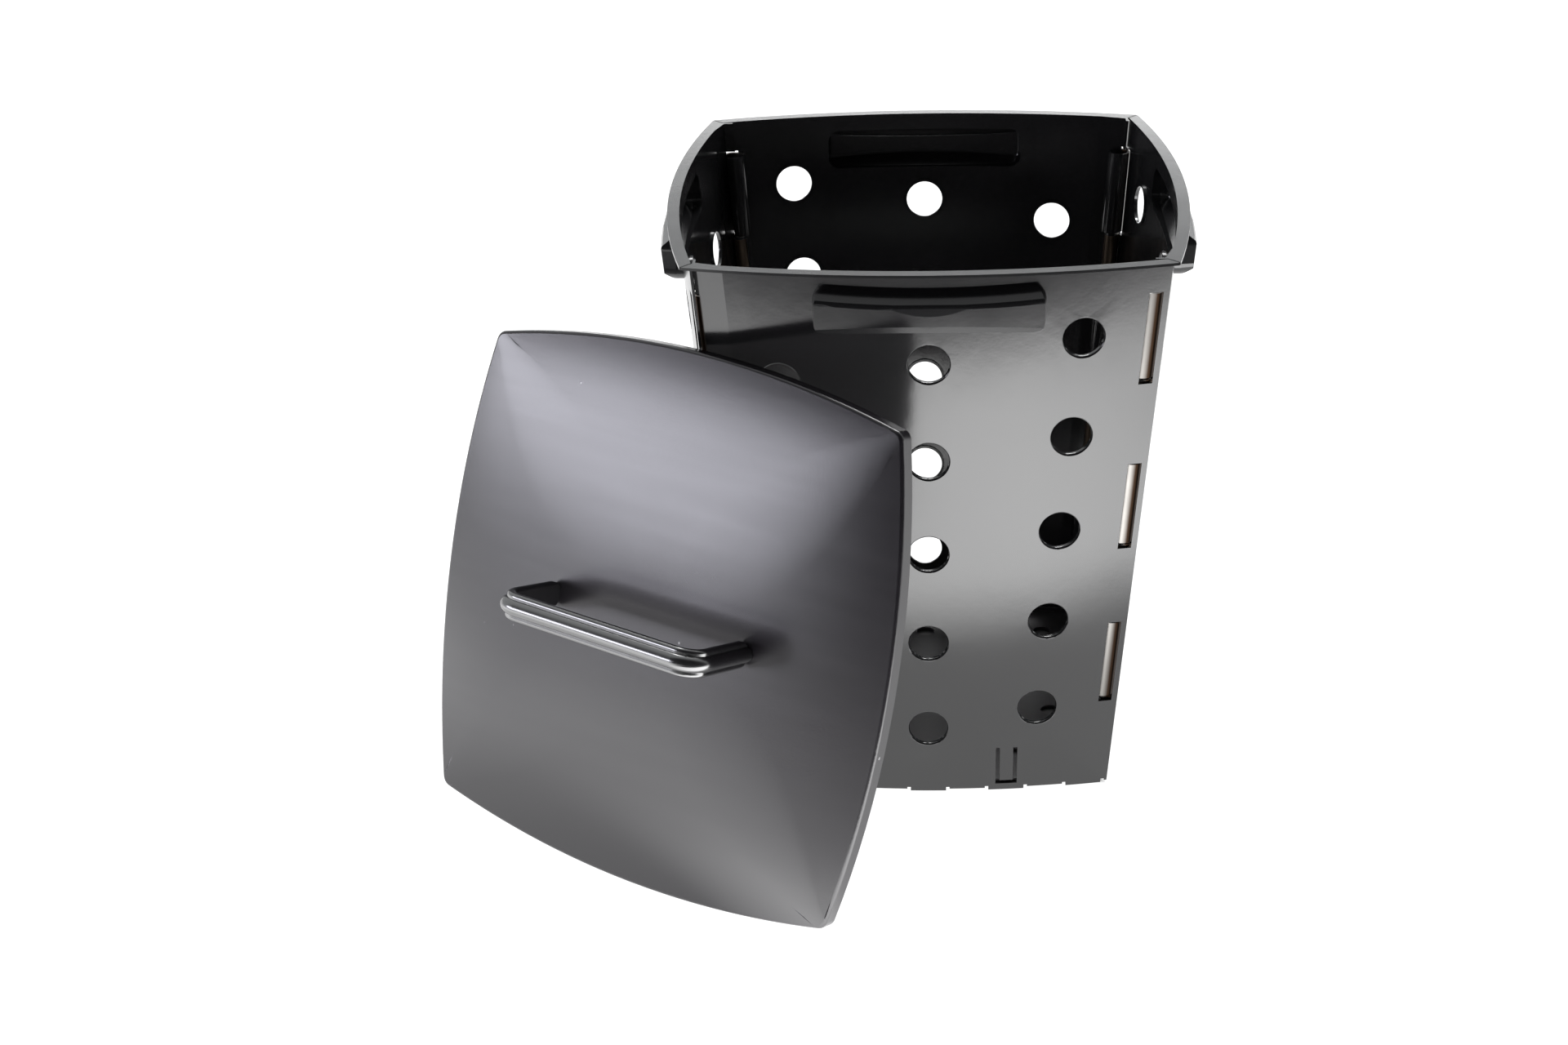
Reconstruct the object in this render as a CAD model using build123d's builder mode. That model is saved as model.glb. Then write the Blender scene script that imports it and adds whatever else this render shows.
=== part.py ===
"""Square chimney charcoal starter: four hooked steel panels, a coal grate and a loose lid.

The origin is on the body's axis at the level of the floor. +Z points up and the
front panel faces -Y. The lid stands on the floor and leans on the front left corner.
All sizes are in millimetres.
"""
from build123d import *
from math import asin, atan2, cos, degrees, hypot, radians, sin, sqrt, tan
import os

os.makedirs("parts", exist_ok=True)

# ---- Driving dimensions: body ----
body_height = 265.0  # floor to the rim's upper face
top_half_width = 100.0  # axis to the corner of the outer faces, at the rim
bottom_half_width = 81.8  # the same at the floor
top_bow = 11.7  # how far the middle of a side stands out past its corners, at the rim
bottom_bow = 7.8  # the same at the floor
sheet = 1.2  # panel steel
flange_width = 4.2  # rim turned outwards
mitre_gap = 0.3  # half the gap between two rim flanges at a corner
edge_overrun = 1.2  # how far a slotted edge runs past the corner

# Corner joint: slots in one edge, a rolled edge with hooks on the other
slot_height = 42.5
slot_pitch = 81.0
slot_base_height = 46.2  # underside of the lowest slot
slot_web = 2.6  # steel left between a slot and the panel's edge
slot_count = 3
hook_radius = 5.2  # outside of the roll that shows in a slot
hook_recess = 0.5  # how far the roll stays below the slotted panel's outer face
hook_top_gap = 0.8  # air above a hook in its slot
hook_foot_gap = 2.4  # air below a hook in its slot
hook_side_gap = 0.394  # air beside a hook, where it passes the slot's inner edge
plain_roll_inset = 0.4  # the roll between the hooks is smaller by this and the sheet
roll_clearance = 0.3  # flat lap to the neighbour's inner face
lap_lip = 5.0  # the lap's edge is turned in along the neighbour
roll_notch = 1.2  # relief cut between a hook and the plain roll
roll_sweep = 290.0  # degrees of the roll
joggle_reach = 14.0  # where the sheet leaves its bow to meet the roll

# Air holes
hole_diameter = 17.6
hole_rows = 5
hole_pitch = 46.7
hole_top_height = 232.3  # highest hole, in the right-hand column
hole_step = 10.0  # each column to the left sits this much lower
hole_column_floor = 45.8  # side columns, from the middle line, at the floor
hole_column_rim = 67.5  # the same at the rim
hole_lip_radius = 0.9  # rounded mouth
hole_collar_depth = 2.0  # how deep the drawn collar reaches from the outer face

# Pressed grip near the rim
grip_length = 97.0
grip_height = 21.0
grip_middle_height = 248.0
grip_depth = 8.5
grip_draft = 36.0  # degrees, slope of the long sides
grip_end_draft = 8.0  # degrees, slope of the short ends
grip_corner = 6.5
grip_crest_radius = 2.2

# Foot: folded tabs below the coal grate, and a lance that snaps over its rim
tab_width = 18.0
tab_pitch = 36.0
tab_depth = 9.0
tab_drop = 1.0  # how far a tab stands below the edge between the tabs
tab_notch = 1.6
lance_middle = 36.0
lance_width = 6.1
lance_slit = 1.9
lance_top = 22.8
lance_foot = 5.2
lance_lip = 2.6

# Coal grate
grate_clearance = 0.6
grate_rim = 3.4
grate_hole_diameter = 9.0
grate_hole_pitch = 20.0  # one row of holes along each side
grate_holes_across = 7

# ---- Driving dimensions: lid ----
lid_half_width = 106.2  # axis to a corner
lid_bow = 12.4
lid_corner_radius = 5.0
lid_sheet = 1.0
lid_edge_height = 7.1  # rim plane to the upper edge
lid_peak_height = 13.4  # rim plane to the top of the soft pyramid
lid_edge_radius = 1.6
# Share of the half width, share of the rise above the edge, and softness of the ridges.
lid_profile = ((1.0, 0.0, 0.0), (0.86, 0.36, 0.25), (0.66, 0.68, 0.5), (0.42, 0.9, 0.68), (0.12, 1.0, 0.75))

lid_lean = 17.3  # degrees from upright
lid_turn = 32.5  # degrees about the vertical from facing -Y, towards -X
lid_gap = 0.4  # air between the lid's rim and the body's corner
lid_side_shift = 2.5  # where the corner touches the lid's top edge, left of its middle

handle_length = 110.5
handle_width = 12.0
handle_thickness = 6.4
handle_top = 54.0  # rim plane to the top of the grip bar
handle_bend = 13.0  # outside bend radius
handle_foot_radius = 4.6
handle_strap = 3.8  # thickness of the strap under the rib
handle_strap_edge = 1.5  # rounding of the strap's edges
handle_rib_radius = 3.6
handle_seat_gap = 0.05

screw_diameter = 4.0
screw_head_diameter = 8.0
screw_head_height = 2.6
screw_engagement = 9.0
bore_clearance = 0.05  # radial, screw in the handle's leg
lid_hole_clearance = 0.3  # radial, screw in the lid and in its washer
washer_diameter = 10.0
washer_thickness = 1.0
washer_gap = 0.05

# ---- Worked out from the driving dimensions ----
lid_hole_diameter = screw_diameter + 2 * lid_hole_clearance
plain_roll_radius = hook_radius - sheet - plain_roll_inset
hook_chord = sqrt(hook_radius ** 2 - (hook_radius + hook_recess - sheet) ** 2)
slot_width = 2 * (hook_chord + hook_side_gap)
slot_inset = slot_web + slot_width / 2 - edge_overrun  # corner to the middle of a slot


def mix(a, b, part):
    """The value or point that lies the given part of the way from a to b."""
    if isinstance(a, tuple):
        return tuple(p + (q - p) * part for p, q in zip(a, b))
    return a + (b - a) * part


def bow_radius(half_width, bow):
    """Radius of a side's outer face in plan."""
    return (half_width**2 + bow**2) / (2 * bow)


def face_point(half_width, bow, x, depth=0.0):
    """A point of a side in plan, at x on the outer face and then depth inwards."""
    radius = bow_radius(half_width, bow)
    turn = asin(x / radius)
    centre = radius - half_width - bow
    reach = radius - depth
    return (reach * sin(turn), centre - reach * cos(turn))


def half_width_at(height):
    return mix(bottom_half_width, top_half_width, height / body_height)


def bow_at(height):
    return mix(bottom_bow, top_bow, height / body_height)


def roll_centre(half_width, bow):
    """Centre of the rolled left edge, straight behind the left neighbour's slots."""
    x = half_width - slot_inset
    slot_x, slot_y = face_point(half_width, bow, x)
    turn = asin(x / bow_radius(half_width, bow))
    reach = hook_radius + hook_recess
    return (slot_y + reach * cos(turn), -slot_x + reach * sin(turn))


def seam_points(half_width, bow):
    """Plan points of the joggled strip: it leaves the bow and runs tangent to the hooks.

    Returns the strip's start and end on the outer side, then its end and start inside.
    """
    start = face_point(half_width, bow, -half_width + joggle_reach)
    start_inner = face_point(half_width, bow, -half_width + joggle_reach, sheet)
    cx, cy = roll_centre(half_width, bow)
    away = hypot(cx - start[0], cy - start[1])
    heading = atan2(cy - start[1], cx - start[0]) + asin(hook_radius / away)
    normal = (-sin(heading), cos(heading))
    touch = (cx + hook_radius * normal[0], cy + hook_radius * normal[1])
    touch_inner = (touch[0] - sheet * normal[0], touch[1] - sheet * normal[1])
    return [start, touch, touch_inner, start_inner]


def roll_points(half_width, bow, outer_radius):
    """Plan points of a roll that carries on from the joggled strip."""
    touch, touch_inner = seam_points(half_width, bow)[1:3]
    inwards = ((touch_inner[0] - touch[0]) / sheet, (touch_inner[1] - touch[1]) / sheet)
    cx = touch[0] + outer_radius * inwards[0]
    cy = touch[1] + outer_radius * inwards[1]
    first = atan2(-inwards[1], -inwards[0])

    def around(radius, part):
        angle = first - radians(roll_sweep) * part
        return (cx + radius * cos(angle), cy + radius * sin(angle))

    outer = [around(outer_radius, part) for part in (0, 0.5, 1)]
    inner = [around(outer_radius - sheet, part) for part in (1, 0.5, 0)]
    return outer + inner


def levels(points_at, low, high):
    """The same plan points at two heights, straight between the floor and the rim."""
    floor = points_at(bottom_half_width, bottom_bow)
    rim = points_at(top_half_width, top_bow)
    return [(z, [mix(a, b, z / body_height) for a, b in zip(floor, rim)]) for z in (low, high)]


def plate_points(half_width, bow):
    """Corners and arc middles of the bowed sheet, from the joggle to the slotted edge."""
    left = -half_width + joggle_reach
    right = half_width + edge_overrun
    middle = (left + right) / 2
    outer = [face_point(half_width, bow, x) for x in (left, middle, right)]
    inner = [face_point(half_width, bow, x, sheet) for x in (right, middle, left)]
    return outer + inner


def lap_points(half_width, bow):
    """The strip carried on flat where it has no roll: it stops just short of the neighbour."""
    start, touch, touch_inner = seam_points(half_width, bow)[:3]
    run = (touch[0] - start[0], touch[1] - start[1])
    reach = (-half_width + sheet + roll_clearance - touch[0]) / run[0]
    end = (touch[0] + run[0] * reach, touch[1] + run[1] * reach)
    end_inner = (end[0] + touch_inner[0] - touch[0], end[1] + touch_inner[1] - touch[1])
    return [touch, end, end_inner, touch_inner]


def lip_points(half_width, bow):
    """The lap's edge, turned in along the neighbour's inner face."""
    x, y = lap_points(half_width, bow)[1]
    return [(x, y), (x, y + lap_lip), (x + sheet, y + lap_lip), (x + sheet, y)]


def section(height, points):
    """A closed plan outline at a height: two arcs joined by lines, or straight between four points."""
    with BuildSketch(Plane.XY.offset(height), mode=Mode.PRIVATE) as outline:
        with BuildLine():
            if len(points) == 6:
                ThreePointArc(*points[:3])
                Line(points[2], points[3])
                ThreePointArc(*points[3:])
                Line(points[5], points[0])
            else:
                Polyline(*points, close=True)
        make_face()
    return outline.sketch


def ruled_piece(points_at, low, high):
    """A straight-ruled piece of sheet between two heights."""
    outlines = [section(z, points) for z, points in levels(points_at, low, high)]
    return loft(outlines, ruled=True, mode=Mode.PRIVATE)


# ---- One side panel ----

def slot_span(index):
    low = slot_base_height + index * slot_pitch
    return low, low + slot_height


def side_plane(x, height):
    """A plane on the outer face at x and height, its normal straight out of the face."""
    half_width, bow = half_width_at(height), bow_at(height)
    px, py = face_point(half_width, bow, x)
    turn = asin(x / bow_radius(half_width, bow))
    rise = (top_half_width + top_bow - bottom_half_width - bottom_bow) / body_height
    out = (sin(turn), -cos(turn), -rise)
    return Plane(origin=(px, py, height), x_dir=(cos(turn), sin(turn), 0), z_dir=out)


def hole_spots():
    """Height and column offset of each air hole, stepping down from right to left."""
    for column in (1, 0, -1):
        for row in range(hole_rows):
            height = hole_top_height - row * hole_pitch - (1 - column) * hole_step
            yield column * mix(hole_column_floor, hole_column_rim, height / body_height), height


def add_rolls():
    """Joggled strip, hooks and plain rolls down the left edge."""
    def hook(half_width, bow):
        return roll_points(half_width, bow, hook_radius)

    def plain(half_width, bow):
        return roll_points(half_width, bow, plain_roll_radius)

    hooks = [(low + hook_foot_gap, high - hook_top_gap) for low, high in map(slot_span, range(slot_count))]
    foot = sheet + roll_clearance
    add(ruled_piece(seam_points, foot, body_height))
    for lap, low in ((lap_points, foot), (lip_points, foot + grate_rim)):
        add(ruled_piece(lap, low, hooks[0][0] - roll_notch))
        add(ruled_piece(lap, hooks[-1][1] + roll_notch, body_height))
    for low, high in hooks:
        add(ruled_piece(hook, low, high))
    for below, above in zip(hooks, hooks[1:]):
        add(ruled_piece(plain, below[1] + roll_notch, above[0] - roll_notch))


def add_grip():
    """The pressed grip: a long pad with sloped sides and steep ends, hollow behind."""
    low, high = grip_middle_height - grip_height, grip_middle_height + grip_height

    def pad(depth_out, depth_in):
        def points(half_width, bow):
            xs = (-grip_length * 0.6, 0, grip_length * 0.6)
            outer = [face_point(half_width, bow, x, -depth_out) for x in xs]
            inner = [face_point(half_width, bow, x, depth_in) for x in reversed(xs)]
            return outer + inner
        return points

    crest = half_width_at(grip_middle_height) + bow_at(grip_middle_height)
    for depth_out, depth_in, shrink, mode in (
        (grip_depth, sheet / 2, 0, Mode.ADD),
        (grip_depth - sheet, sheet + 6, sheet, Mode.SUBTRACT),
    ):
        with BuildPart(mode=Mode.PRIVATE) as press:
            with BuildSketch(Plane.XZ.offset(crest)):
                RectangleRounded(grip_length - 2 * shrink, grip_height - 2 * shrink, grip_corner - shrink)
            extrude(amount=grip_depth + 1, taper=grip_end_draft)
            with BuildSketch(Plane.XZ.offset(crest)):
                RectangleRounded(grip_length - 2 * shrink, grip_height - 2 * shrink, grip_corner - shrink)
            extrude(amount=-12)
            slope = tan(radians(grip_draft))
            tall = grip_height / 2 - shrink
            with BuildSketch(Plane.YZ):
                Polygon((-crest, tall), (-crest - grip_depth, tall - grip_depth * slope),
                        (-crest - grip_depth, grip_depth * slope - tall), (-crest, -tall),
                        (12 - crest, -tall), (12 - crest, tall), align=None)
            extrude(amount=grip_length, both=True, mode=Mode.INTERSECT)
        tool = press.part.moved(Location((0, 0, grip_middle_height)))
        slab = ruled_piece(pad(depth_out, depth_in), low, high)
        with BuildPart(mode=Mode.PRIVATE) as pressing:
            add(tool & slab)
            front = pressing.faces().sort_by(Axis.Y)[0]
            fillet(front.edges(), grip_crest_radius - shrink)
        add(pressing.part, mode=mode)


def add_hole_collars():
    for x, height in hole_spots():
        with BuildSketch(side_plane(x, height).offset(-hole_collar_depth)) as ring:
            Circle(hole_diameter / 2 + sheet)
        extrude(ring.sketch, amount=hole_collar_depth - sheet / 2)


def cut_holes():
    """Air holes with rounded mouths."""
    radius = hole_diameter / 2
    mouth = radius + hole_lip_radius
    with BuildPart(mode=Mode.PRIVATE) as drill:
        with BuildSketch(Plane.XZ):
            with BuildLine():
                Polyline((radius, -hole_lip_radius), (radius, -12), (0, -12), (0, 3), (mouth, 3), (mouth, 0))
                RadiusArc((mouth, 0), (radius, -hole_lip_radius), -hole_lip_radius)
            make_face()
        revolve(axis=Axis.Z)
    for x, height in hole_spots():
        add(drill.part.moved(side_plane(x, height).location), mode=Mode.SUBTRACT)


def edge_slot(low, high):
    """A slot that leans with the corner, as seen from the front."""
    def corner(side, height):
        return (half_width_at(height) - slot_inset + side * slot_width / 2, height)

    return [corner(-1, low), corner(1, low), corner(1, high), corner(-1, high)]


def cut_slots():
    for index in range(slot_count):
        with BuildSketch(Plane.XZ.offset(top_half_width - 40)) as slot:
            Polygon(*edge_slot(*slot_span(index)), align=None)
        extrude(slot.sketch, amount=60, mode=Mode.SUBTRACT)


def floor_band(depth_out, depth_in, half_width, bow, reach):
    """A strip of plan that follows a side's bow, from depth_out outside to depth_in inside."""
    xs = (-reach, 0, reach)
    outer = [face_point(half_width, bow, x, -depth_out) for x in xs]
    inner = [face_point(half_width, bow, x, depth_in) for x in reversed(xs)]
    with BuildSketch(mode=Mode.PRIVATE) as band:
        with BuildLine():
            ThreePointArc(*outer)
            Line(outer[2], inner[0])
            ThreePointArc(*inner)
            Line(inner[2], outer[0])
        make_face()
    return band.sketch


def add_flange():
    """Rim turned outwards, mitred on the corner's diagonal."""
    half_width, bow = top_half_width, top_bow
    reach = half_width + flange_width * 2
    strip = seam_points(half_width, bow)
    lap_end, lap_end_inner = lap_points(half_width, bow)[1:3]
    tip = half_width * 2
    gap = mitre_gap * sqrt(2)
    with BuildSketch(Plane.XY.offset(body_height - sheet)) as rim:
        add(floor_band(flange_width, sheet, half_width, bow, reach))
        Polygon(strip[3], strip[0], (-half_width, -half_width), lap_end, lap_end_inner, align=None)
        Polygon((0, gap), (tip, -tip + gap), (-tip, -tip + gap), align=None, mode=Mode.INTERSECT)
        Polygon((0, -gap), (tip, -tip - gap), (tip, -tip * 2), (-tip, -tip * 2), (-tip, -tip - gap),
                align=None, mode=Mode.INTERSECT)
    extrude(rim.sketch, amount=sheet)


def trim_under_neighbour():
    """Cuts the slotted edge back where the right neighbour's flange passes over it."""
    tip = top_half_width * 2
    gap = mitre_gap * sqrt(2)
    with BuildSketch(Plane.XY.offset(body_height - 2 * sheet)) as beyond:
        Polygon((0, -gap), (tip, -tip - gap), (tip, 0), align=None)
    extrude(beyond.sketch, amount=3 * sheet, mode=Mode.SUBTRACT)


def tab_middles():
    """The folded tabs: all that clear the rolled corner."""
    return [step * tab_pitch for step in (-1, 0, 1, 2)]


def add_foot():
    """Folded tabs, the notches beside them and the edge between them."""
    reach = bottom_half_width + edge_overrun
    with BuildSketch(Plane.XY) as tabs:
        with Locations(*[(x, -bottom_half_width) for x in tab_middles()]):
            Rectangle(tab_width - tab_notch, 4 * tab_depth)
        add(floor_band(0, tab_depth, bottom_half_width, bottom_bow, reach), mode=Mode.INTERSECT)
    extrude(tabs.sketch, amount=sheet)


def cut_foot():
    """Lifts the edge between the tabs, notches their sides and cuts the lance free."""
    edges = []
    for x in tab_middles():
        edges += [x - tab_width / 2, x + tab_width / 2]
    wall = bottom_half_width + bottom_bow + 10
    with BuildSketch(Plane.XZ.offset(bottom_half_width - 20)) as cuts:
        for x in edges:
            with Locations((x, tab_drop)):
                Rectangle(tab_notch, 2 * tab_drop)
        foot_middle = lance_foot - lance_slit / 2
        side_height = lance_top - foot_middle
        for side in (-1, 1):
            slit_x = lance_middle + side * (lance_width + lance_slit) / 2
            with Locations((slit_x, foot_middle + side_height / 2)):
                Rectangle(lance_slit, side_height + lance_slit)
        with Locations((lance_middle, foot_middle)):
            Rectangle(lance_width + 2 * lance_slit, lance_slit)
    extrude(cuts.sketch, amount=wall, mode=Mode.SUBTRACT)


def add_lance_lip():
    """The lance's foot is bent inwards over the coal grate's rim."""
    half_width, bow = half_width_at(lance_foot), bow_at(lance_foot)
    with BuildSketch(Plane.XY.offset(lance_foot)) as lip:
        add(floor_band(0, sheet + lance_lip, half_width, bow, half_width))
        with Locations((lance_middle, -half_width)):
            Rectangle(lance_width, 40, mode=Mode.INTERSECT)
    extrude(lip.sketch, amount=sheet)


with BuildPart() as panel:
    add(ruled_piece(plate_points, tab_drop, body_height))
    add_rolls()
    add_grip()
    add_hole_collars()
    cut_holes()
    cut_slots()
    cut_foot()
    add_foot()
    add_lance_lip()
    trim_under_neighbour()
    add_flange()

for quarter, side in enumerate(("front", "right", "back", "left")):
    with BuildPart() as placed_panel:
        add(panel.part.rotate(Axis.Z, 90 * quarter))
    placed_panel.part.label = f"panel_{side}"
    print(placed_panel.part.label, len(placed_panel.part.solids()), round(placed_panel.part.volume))
    export_step(placed_panel.part, f"parts/{placed_panel.part.label}.step")

# ---- Coal grate: a shallow tray on the folded tabs, under the lances ----

grate_half_width = bottom_half_width - sheet - grate_clearance
grate_underside = sheet


def square_outline(half_width, bow, corner_radius):
    """A square whose sides bulge, with rounded corners."""
    corners = [(-half_width, -half_width), (half_width, -half_width), (half_width, half_width),
               (-half_width, half_width)]
    reach = half_width + bow
    middles = [(0, -reach), (reach, 0), (0, reach), (-reach, 0)]
    with BuildSketch(mode=Mode.PRIVATE) as outline:
        with BuildLine():
            for index, middle in enumerate(middles):
                ThreePointArc(corners[index], middle, corners[(index + 1) % 4])
        make_face()
        fillet(outline.vertices(), corner_radius)
    return outline.sketch


def grate_hole_spots():
    """A square ring of air holes around the plain middle."""
    last = grate_holes_across // 2
    steps = range(-last, last + 1)
    ring = [(i, j) for i in steps for j in steps if max(abs(i), abs(j)) == last]
    return [(i * grate_hole_pitch, j * grate_hole_pitch) for i, j in ring]


with BuildPart() as coal_grate:
    with BuildSketch(Plane.XY.offset(grate_underside)):
        add(square_outline(grate_half_width, bottom_bow, 6))
    extrude(amount=grate_rim)
    with BuildSketch(Plane.XY.offset(grate_underside + sheet)):
        add(square_outline(grate_half_width - sheet, bottom_bow, 5))
    extrude(amount=grate_rim, mode=Mode.SUBTRACT)
    with BuildSketch(Plane.XY):
        with Locations(*grate_hole_spots()):
            Circle(grate_hole_diameter / 2)
    extrude(amount=3 * sheet, mode=Mode.SUBTRACT)
coal_grate.part.label = "coal_grate"
export_step(coal_grate.part, "parts/coal_grate.step")

# ---- Lid: where it stands, then its pieces in its own plane ----

lean, turn = radians(lid_lean), radians(lid_turn)
lid_normal = (-sin(turn) * cos(lean), -cos(turn) * cos(lean), sin(lean))
lid_right = (cos(turn), -sin(turn), 0)
lid_reach = lid_half_width + lid_bow
lid_middle_height = lid_reach * cos(lean)

# The left panel's slotted edge meets the rim plane just under the lid's top edge.
touch_reach = lid_reach - lid_sheet
touch_height = lid_middle_height + touch_reach * cos(lean)
touch_half_width = half_width_at(touch_height)
touch_x = -touch_half_width
touch_y = -touch_half_width - edge_overrun
back = (lid_gap + touch_reach * sin(lean) * cos(lean)) / cos(lean)
lid_middle_x = touch_x + lid_side_shift * lid_right[0] - back * sin(turn)
lid_middle_y = touch_y + lid_side_shift * lid_right[1] - back * cos(turn)
lid_plane = Plane(origin=(lid_middle_x, lid_middle_y, lid_middle_height), x_dir=lid_right, z_dir=lid_normal)
print("lid plane", [round(v, 2) for v in lid_plane.origin], [round(v, 4) for v in lid_plane.z_dir])


def lid_form(inset):
    """The lid's solid form, a skirt and a soft pyramid, an inset inside its outer faces."""
    edge_height = lid_edge_height - inset
    rise = lid_peak_height - lid_edge_height

    def outline(share, softness):
        half_width = (lid_half_width - inset) * share
        bow = lid_bow * share * (1 - softness * 0.3)
        return square_outline(half_width, bow, max(lid_corner_radius - inset, softness * half_width))

    with BuildPart(mode=Mode.PRIVATE) as form:
        with BuildSketch():
            add(outline(1, 0))
        extrude(amount=edge_height)
        with BuildPart(mode=Mode.PRIVATE) as top:
            for share, lift, softness in lid_profile:
                with BuildSketch(Plane.XY.offset(edge_height + lift * rise)):
                    add(outline(share, softness))
            loft()
        add(top.part)
    return form.part


def lid_face_height(x):
    """Height of the lid's face over the rim plane at x, on the middle line."""
    reach = abs(x) / lid_reach
    lift = 1.0
    for (outer, low, _), (inner, high, _) in zip(lid_profile, lid_profile[1:]):
        if inner <= reach <= outer:
            lift = mix(high, low, (reach - inner) / (outer - inner))
    return mix(lid_edge_height, lid_peak_height, lift)


bore_radius = screw_diameter / 2 + bore_clearance
leg_middle = (handle_length - handle_thickness) / 2
leg_foot = lid_face_height(leg_middle - handle_thickness / 2) + handle_seat_gap
washer_top = lid_face_height(leg_middle + washer_diameter / 2) - lid_sheet * 1.01 - washer_gap
leg_spots = [(-leg_middle, 0), (leg_middle, 0)]

with BuildPart() as lid_shell:
    add(lid_form(0))
    edge = lid_shell.edges().filter_by(lambda e: abs(e.center().Z - lid_edge_height) < 0.01)
    fillet(edge, lid_edge_radius)
    add(lid_form(lid_sheet), mode=Mode.SUBTRACT)
    with BuildSketch():
        with Locations(*leg_spots):
            Circle(lid_hole_diameter / 2)
    extrude(amount=2 * lid_peak_height, mode=Mode.SUBTRACT)


with BuildPart() as lid_handle:
    reach = handle_length / 2
    with BuildLine(Plane.XZ):
        bar_line = FilletPolyline((-reach, leg_foot), (-reach, handle_top), (reach, handle_top),
                                  (reach, leg_foot), radius=handle_bend)
    with BuildSketch(Plane(origin=(-reach, 0, leg_foot), x_dir=(1, 0, 0), z_dir=(0, 0, 1))):
        with Locations((handle_thickness - handle_strap / 2, 0)):
            RectangleRounded(handle_strap, handle_width, handle_strap_edge)
        with Locations((handle_rib_radius, 0)):
            Circle(handle_rib_radius)
        with Locations((handle_thickness / 2, 0)):
            Rectangle(handle_thickness, handle_width, mode=Mode.INTERSECT)
    sweep(path=bar_line)
    with BuildSketch(Plane.YZ):
        with Locations((0, (leg_foot + handle_top) / 2)):
            RectangleRounded(handle_width, handle_top - leg_foot, handle_foot_radius)
        with Locations((0, handle_top - handle_foot_radius)):
            Rectangle(handle_width, 2 * handle_foot_radius)
    extrude(amount=reach, both=True, mode=Mode.INTERSECT)
    with BuildSketch(Plane.XY.offset(leg_foot)):
        with Locations(*leg_spots):
            Circle(bore_radius)
    extrude(amount=screw_engagement + 1, mode=Mode.SUBTRACT)

with BuildPart() as lid_washers:
    with BuildSketch(Plane.XY.offset(washer_top - washer_thickness)):
        with Locations(*leg_spots):
            Circle(washer_diameter / 2)
            Circle(lid_hole_diameter / 2, mode=Mode.SUBTRACT)
    extrude(amount=washer_thickness)

head_top = washer_top - washer_thickness - washer_gap
with BuildPart() as lid_screws:
    with BuildSketch(Plane.XY.offset(head_top - screw_head_height)):
        with Locations(*leg_spots):
            Circle(screw_head_diameter / 2)
    extrude(amount=screw_head_height)
    rims = lid_screws.edges().filter_by(GeomType.CIRCLE).group_by(Axis.Z)[0]
    fillet(rims, screw_head_height * 0.55)
    with BuildSketch(Plane.XY.offset(head_top)):
        with Locations(*leg_spots):
            Circle(screw_diameter / 2)
    extrude(amount=leg_foot + screw_engagement - head_top)
    with BuildSketch(Plane.XY.offset(head_top - screw_head_height)):
        with Locations(*leg_spots):
            Rectangle(screw_head_diameter * 0.55, 1)
            Rectangle(1, screw_head_diameter * 0.55)
    extrude(amount=screw_head_height * 0.6, mode=Mode.SUBTRACT)

for name, piece in (("lid_shell", lid_shell), ("lid_handle", lid_handle), ("lid_washers", lid_washers),
                    ("lid_screws", lid_screws)):
    with BuildPart() as standing:
        add(piece.part.moved(lid_plane.location))
    standing.part.label = name
    print(name, len(standing.part.solids()), round(standing.part.volume, 1))
    export_step(standing.part, f"parts/{name}.step")
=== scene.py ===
# %% [markdown]
# # A square chimney starter and its lid
# The starter is four bowed panels of enamelled sheet steel, hooked together at the corners over
# a small coal grate, with a loose domed lid leaning on its front left corner. The frame already
# holds every piece at its true size, so this script gives them their finishes, and sets up the
# floor, the lights and the camera.

# %% Load the frame
from math import pi, radians

import bmesh
import bpy
from mathutils import Matrix, Vector

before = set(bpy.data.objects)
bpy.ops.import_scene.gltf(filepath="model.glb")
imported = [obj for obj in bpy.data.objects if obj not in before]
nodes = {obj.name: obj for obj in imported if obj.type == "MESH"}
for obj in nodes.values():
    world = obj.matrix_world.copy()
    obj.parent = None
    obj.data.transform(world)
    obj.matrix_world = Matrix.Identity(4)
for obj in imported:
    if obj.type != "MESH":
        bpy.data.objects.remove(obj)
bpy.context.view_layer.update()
print("nodes:", sorted(nodes))

# %% [markdown]
# ## Camera
# A product shot from about a metre away, looking down by some 26 degrees. A 56 mm lens keeps
# the taper of the body honest. The yaw turns the camera a little towards the lid.

# %% Camera
camera_data = bpy.data.cameras.new("camera")
camera_data.sensor_width = 36.0
camera_data.lens = 56.23
camera_data.clip_end = 20.0
camera = bpy.data.objects.new("camera", camera_data)
look_down, look_left, roll = radians(26.24), radians(3.20), radians(-1.68)
camera.matrix_world = (
    Matrix.Translation((-0.00953, -1.05976, 0.61873))
    @ Matrix.Rotation(look_left, 4, "Z")
    @ Matrix.Rotation(radians(90) - look_down, 4, "X")
    @ Matrix.Rotation(roll, 4, "Z")
)
bpy.context.scene.collection.objects.link(camera)
bpy.context.scene.camera = camera
bpy.context.scene.view_settings.view_transform = "Standard"
print("camera at", [round(v, 3) for v in camera.location])

# %% [markdown]
# ## Shader maths as Python
# Node trees are easier to read as expressions. `Value` wraps a socket, and its operators add
# Math nodes. `Finish` owns one material and adds any other node with a single method.

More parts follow.
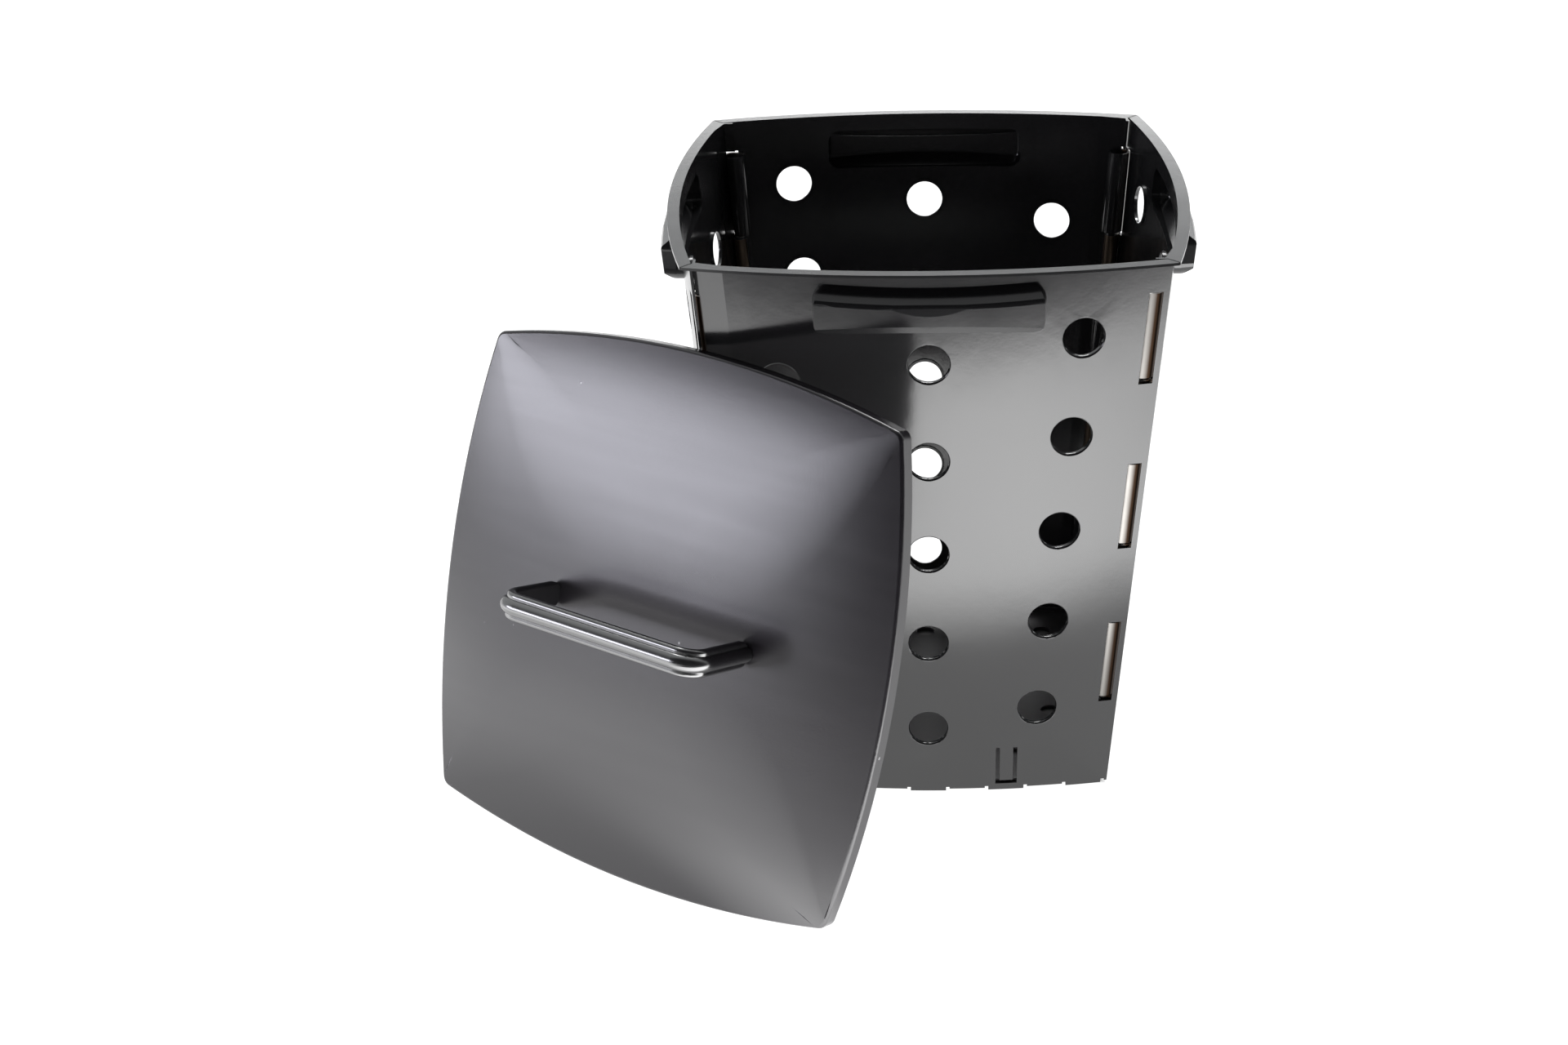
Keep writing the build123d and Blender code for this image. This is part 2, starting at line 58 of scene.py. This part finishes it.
# %% Expressions on sockets
class Value:
    """A number that varies over a surface: a socket whose operators add Math nodes."""

    def __init__(self, finish, socket):
        self.finish, self.socket = finish, socket

    def maths(self, operation, *others):
        return self.finish.node("ShaderNodeMath", "Value", {"operation": operation}, (self, *others))

    def __add__(self, other):
        return self.maths("ADD", other)

    __radd__ = __add__

    def __sub__(self, other):
        return self.maths("SUBTRACT", other)

    def __rsub__(self, other):
        return (self * -1) + other

    def __mul__(self, other):
        return self.maths("MULTIPLY", other)

    __rmul__ = __mul__

    def __truediv__(self, other):
        return self.maths("DIVIDE", other)

    def __pow__(self, other):
        return self.maths("POWER", other)

    def __abs__(self):
        return self.maths("ABSOLUTE")

    def above(self, edge, blur):
        """0 below the edge, 1 above it, with a soft step as wide as the blur."""
        step = ((self - edge) / blur + 0.5).maths("MAXIMUM", 0.0)
        return step.maths("MINIMUM", 1.0)

    def between(self, low, high, blur):
        return self.above(low, blur) * (1 - self.above(high, blur))


class Finish:
    """One material. Its place is read in metres from Object coordinates."""

    def __init__(self, name, colour, **settings):
        self.material = bpy.data.materials.new(name)
        self.material.use_nodes = True
        self.tree = self.material.node_tree
        self.shader = self.tree.nodes["Principled BSDF"]
        self.shader.inputs["Base Color"].default_value = (*colour, 1.0)
        for socket, value in settings.items():
            self.shader.inputs[socket.replace("_", " ")].default_value = value
        coordinates = self.tree.nodes.new("ShaderNodeTexCoord")
        self.place = coordinates.outputs["Object"]

    def node(self, kind, output, settings=None, inputs=()):
        """Adds a node, sets it, then fills its sockets by order or by name."""
        made = self.tree.nodes.new(kind)
        for name, value in (settings or {}).items():
            setattr(made, name, value)
        pairs = inputs.items() if isinstance(inputs, dict) else enumerate(inputs)
        for key, value in pairs:
            self.fill(made.inputs[key], value)
        return Value(self, made.outputs[output])

    def fill(self, socket, value):
        if isinstance(value, Value):
            value = value.socket
        if isinstance(value, bpy.types.NodeSocket):
            self.tree.links.new(value, socket)
        else:
            socket.default_value = value

    def axes(self, place=None):
        split = self.node("ShaderNodeSeparateXYZ", "X", inputs=(place or self.place,))
        outputs = split.socket.node.outputs
        return split, Value(self, outputs["Y"]), Value(self, outputs["Z"])

    def noise(self, scale, detail=2.0, place=None):
        return self.node("ShaderNodeTexNoise", "Fac", inputs={
            "Vector": place or self.place, "Scale": scale, "Detail": detail})

    def blend(self, mask, first, second):
        """A colour that goes from the first to the second as the mask goes from 0 to 1."""
        sides = [side if isinstance(side, Value) else (*side, 1.0) for side in (first, second)]
        made = self.node("ShaderNodeMix", "Result", {"data_type": "RGBA"})
        mix = made.socket.node
        self.fill(mix.inputs[0], mask)
        self.fill(mix.inputs[6], sides[0])
        self.fill(mix.inputs[7], sides[1])
        return Value(self, mix.outputs[2])

    def bump(self, height, strength, distance):
        normal = self.node("ShaderNodeBump", "Normal", inputs={
            "Strength": strength, "Distance": distance, "Height": height})
        self.fill(self.shader.inputs["Normal"], normal)

    def wear(self, piece):
        """Puts this finish on a CAD node, in place of all its slots."""
        piece.data.materials.clear()
        piece.data.materials.append(self.material)


print("shader maths ready")

# %% [markdown]
# ## Black enamel, and the rolled edges
# The panels are dipped and fired: a thin glassy black over a surface that is never quite flat,
# so that reflections wobble a little, like orange peel. One edge of each panel is rolled up into
# a tube that hooks through its neighbour's slots. The enamel does not hold on that tight roll,
# so it shows bare steel in the slots, pale on its lit side and painted dark brown as shade on the
# side that curves away, and brownish steel between them. All four panels
# are the same pressing, so the recipe is written for the front one and turned for the others.

# %% Where the roll runs
roll_floor = (-77.0, -76.4)  # mm, the roll's centre line at the floor, front panel
roll_rim = (-95.5, -94.3)
body_height, slot_base, slot_pitch, slot_height = 265.0, 46.2, 81.0, 42.5
roll_reach = 5.32  # just past the roll's outer radius
# The pale steel colour is the roll's lit side. The dark brown beside it in the slots is painted shade.
enamel_black, roll_brown, lit_side_steel = (0.01, 0.01, 0.011), (0.13, 0.1, 0.075), (0.3, 0.29, 0.275)


def roll_mask(finish, place):
    """Masks for a panel's rolled tube, its outward side and its lit side (the rest of the roll gets painted
    shade), and the height in mm.
    """
    x, y, z = finish.axes(place)
    height = z * 1000.0
    across = x * 1000.0 - (height * ((roll_rim[0] - roll_floor[0]) / body_height) + roll_floor[0])
    along = y * 1000.0 - (height * ((roll_rim[1] - roll_floor[1]) / body_height) + roll_floor[1])
    distance = (across * across + along * along) ** 0.5
    # lit marks the side of the roll that faces the light. The side that curves away from it gets a painted
    # shade.
    outward, lit = 1 - across.above(-1.5, 1.0), along.above(-0.7, 2.4)
    return 1 - distance.above(roll_reach, 0.1), outward, lit, height


print("roll leans", round(roll_floor[0] - roll_rim[0], 1), "mm over the height")


# %% Black enamel
def panel_enamel(side, quarter):
    enamel = Finish(f"black_enamel_{side}", enamel_black, IOR=1.8)
    turned = enamel.node("ShaderNodeMapping", "Vector", {"vector_type": "TEXTURE"}, {
        "Vector": enamel.place, "Rotation": (0.0, 0.0, quarter * radians(90))})
    tube, outward, lit_side, height = roll_mask(enamel, turned)
    hooks = 0.0
    for index in range(3):
        low = slot_base + index * slot_pitch
        hooks = hooks + height.between(low, low + slot_height, 0.3)
    between = height.between(slot_base, slot_base + 2 * slot_pitch + slot_height, 0.3) - hooks
    bare = tube * (hooks * outward + between)
    smudge = enamel.noise(120.0, 4.0, turned)
    # The steel in the slots is pale on its lit side and painted dark brown where it curves away: a painted
    # shade.
    slot_steel_painted_shade = enamel.blend(lit_side, (0.035, 0.02, 0.012), lit_side_steel)
    steel = enamel.blend(hooks, roll_brown, slot_steel_painted_shade)
    enamel.fill(enamel.shader.inputs["Base Color"], enamel.blend(bare, enamel_black, steel))
    enamel.fill(enamel.shader.inputs["Metallic"], bare)
    cloudy = enamel.noise(30.0, 4.0, turned)
    glossy = 0.12 + cloudy * 0.08
    enamel.fill(enamel.shader.inputs["Roughness"], glossy * (1 - bare) + (0.3 + smudge * 0.15) * bare)
    peel = enamel.noise(260.0, 2.0, turned) * 0.7 + enamel.noise(900.0, 2.0, turned) * 0.3
    enamel.bump(peel, 0.05, 0.0004)
    enamel.wear(nodes[f"panel_{side}"])
    return enamel


for quarter, side in enumerate(("front", "right", "back", "left")):
    panel_enamel(side, quarter)
print("enamel on the four panels")

# %% [markdown]
# ## Satin paint on the lid and the coal grate
# The lid is sprayed with a satin, slightly violet black. It is brushed along its width before
# painting, which leaves faint streaks in the sheen, and it has picked up a few specks of dust.

# %% Satin paint
lid_turn, lid_lean = radians(32.5), radians(17.3)
lid_middle = (-0.1142, -0.1297, 0.1132)
lid_frame = (Matrix.Rotation(-lid_turn, 3, "Z") @ Matrix.Rotation(radians(90) - lid_lean, 3, "X")).to_euler()


def satin(name, colour, roughness):
    paint = Finish(name, colour, Roughness=roughness, IOR=1.75)
    flat = paint.node("ShaderNodeMapping", "Vector", {"vector_type": "TEXTURE"}, {
        "Vector": paint.place, "Location": lid_middle, "Rotation": tuple(lid_frame)})
    stretched = paint.node("ShaderNodeMapping", "Vector", {"vector_type": "POINT"}, {
        "Vector": flat, "Scale": (0.06, 1.0, 1.0)})
    streaks = paint.noise(160.0, 3.0, stretched)
    grain = paint.noise(1400.0, 2.0, flat)
    paint.fill(paint.shader.inputs["Roughness"], roughness - 0.05 + streaks * 0.06 + grain * 0.04)
    specks = paint.node("ShaderNodeTexVoronoi", "Distance", {"feature": "F1"}, {
        "Vector": flat, "Scale": 110.0})
    chance = Value(paint, specks.socket.node.outputs["Color"])
    red, green, _ = paint.axes(chance)
    size = 0.05 + green * 0.05
    dust = (1 - (specks / size).above(0.8, 0.4)) * red.above(0.9, 0.02)
    paint.fill(paint.shader.inputs["Base Color"], paint.blend(dust * 0.6, colour, (0.4, 0.4, 0.42)))
    paint.bump(grain, 0.04, 0.0003)
    return paint


satin("satin_lid_black", (0.013, 0.0112, 0.0145), 0.25).wear(nodes["lid_shell"])
satin("satin_grate_black", (0.03, 0.027, 0.03), 0.36).wear(nodes["coal_grate"])
print("satin on the lid and the grate")

# %% [markdown]
# ## Handle and its screws
# The handle is a dipped, glossy black bar; its screws and washers are zinc plated.

# %% Handle gloss and zinc
handle_black = Finish("gloss_handle_black", (0.012, 0.012, 0.013), Roughness=0.2, IOR=2.6)
handle_black.bump(handle_black.noise(700.0), 0.04, 0.0003)
handle_black.fill(handle_black.shader.inputs["Roughness"], 0.16 + handle_black.noise(60.0, 3.0) * 0.1)
handle_black.wear(nodes["lid_handle"])
zinc = Finish("zinc", (0.6, 0.6, 0.57), Roughness=0.35, Metallic=1.0)
zinc.fill(zinc.shader.inputs["Roughness"], 0.28 + zinc.noise(500.0, 3.0) * 0.2)
zinc.wear(nodes["lid_screws"])
zinc.wear(nodes["lid_washers"])
print("finishes:", len(bpy.data.materials))

# %% [markdown]
# ## Floor and light
# Gloss black shows only what it reflects. The front panel looks down into the floor, so the
# floor is a light table: white wherever the camera sees it, with one pool lit well past white
# just in front of the body and another off to the left, and unlit where it runs on under the
# camera. The lid looks level to the left, where a low softbox lights its upper face. One box
# behind shows in the flat rim, and a high one behind puts a glint on rounded edges. The room on
# the camera's side stays dark.

# %% Floor
floor_mesh = bmesh.new()
bmesh.ops.create_grid(floor_mesh, x_segments=1, y_segments=1, size=6.0)
floor_data = bpy.data.meshes.new("floor")
floor_mesh.to_mesh(floor_data)
floor_mesh.free()
floor = bpy.data.objects.new("floor", floor_data)
bpy.context.scene.collection.objects.link(floor)

table = Finish("light_table", (0.15, 0.15, 0.15), Roughness=0.9)
x, y, _ = table.axes()


def pool(middle, reach, near, far, blur):
    """A patch of light that fades to both sides of its middle, between two depths."""
    aside = (x - middle) / reach
    return ((aside * aside) * -1).maths("EXPONENT") * y.between(near, far, blur)


front = pool(0.1, 0.34, -0.48, -0.222, 0.05)
left = pool(-0.75, 0.3, -0.6, 0.1, 0.2)
lit = y.above(-0.465, 0.05).maths("MAXIMUM", 1 - x.above(-0.5, 0.3))
# The light table is left dark in a soft square under the body: a painted shadow of the body.
outside_painted_shadow = abs(x).maths("MAXIMUM", abs(y)).above(0.081, 0.004)
glow = (1.05 * lit + 3.9 * front + 1.6 * left) * outside_painted_shadow
table.fill(table.shader.inputs["Emission Color"], glow)
table.shader.inputs["Emission Strength"].default_value = 1.0
floor.data.materials.append(table.material)
print("floor lit")

# %% Surround: pale all round, dark on the camera's side
world = bpy.data.worlds.new("surround")
world.use_nodes = True
sky = world.node_tree
background = sky.nodes["Background"]
toward = sky.nodes.new("ShaderNodeTexCoord")
split = sky.nodes.new("ShaderNodeSeparateXYZ")
level = sky.nodes.new("ShaderNodeMapRange")
level.interpolation_type = "SMOOTHSTEP"
sky.links.new(toward.outputs["Generated"], split.inputs[0])
sky.links.new(split.outputs["Y"], level.inputs["Value"])
for name, value in (("From Min", -0.4), ("From Max", 0.3), ("To Min", 0.03), ("To Max", 0.7)):
    level.inputs[name].default_value = value
sky.links.new(level.outputs["Result"], background.inputs["Strength"])
background.inputs["Color"].default_value = (0.97, 0.99, 1.0, 1.0)
bpy.context.scene.world = world


def softbox(name, place, target, width, height, radiance):
    """A rectangular light whose face has the given radiance, whatever its size."""
    light = bpy.data.lights.new(name, "AREA")
    light.shape = "RECTANGLE"
    light.size, light.size_y = width, height
    light.energy = radiance * pi * width * height
    lamp = bpy.data.objects.new(name, light)
    lamp.location = place
    lamp.rotation_euler = (Vector(target) - Vector(place)).to_track_quat("-Z", "Y").to_euler()
    bpy.context.scene.collection.objects.link(lamp)
    return lamp


left_box = softbox("left_box", (-1.52, -0.52, 0.41), (-0.11, -0.13, 0.15), 0.9, 0.4, 7.6)
left_box.data.color = (0.9, 0.9, 1.0)
softbox("back_box", (0.3, 2.3, 0.7), (0, 0, 0.3), 2.2, 0.45, 3.2)
softbox("high_box", (0.25, 1.35, 2.0), (0, 0, 0.25), 1.6, 0.6, 14.0)
print("lights set")
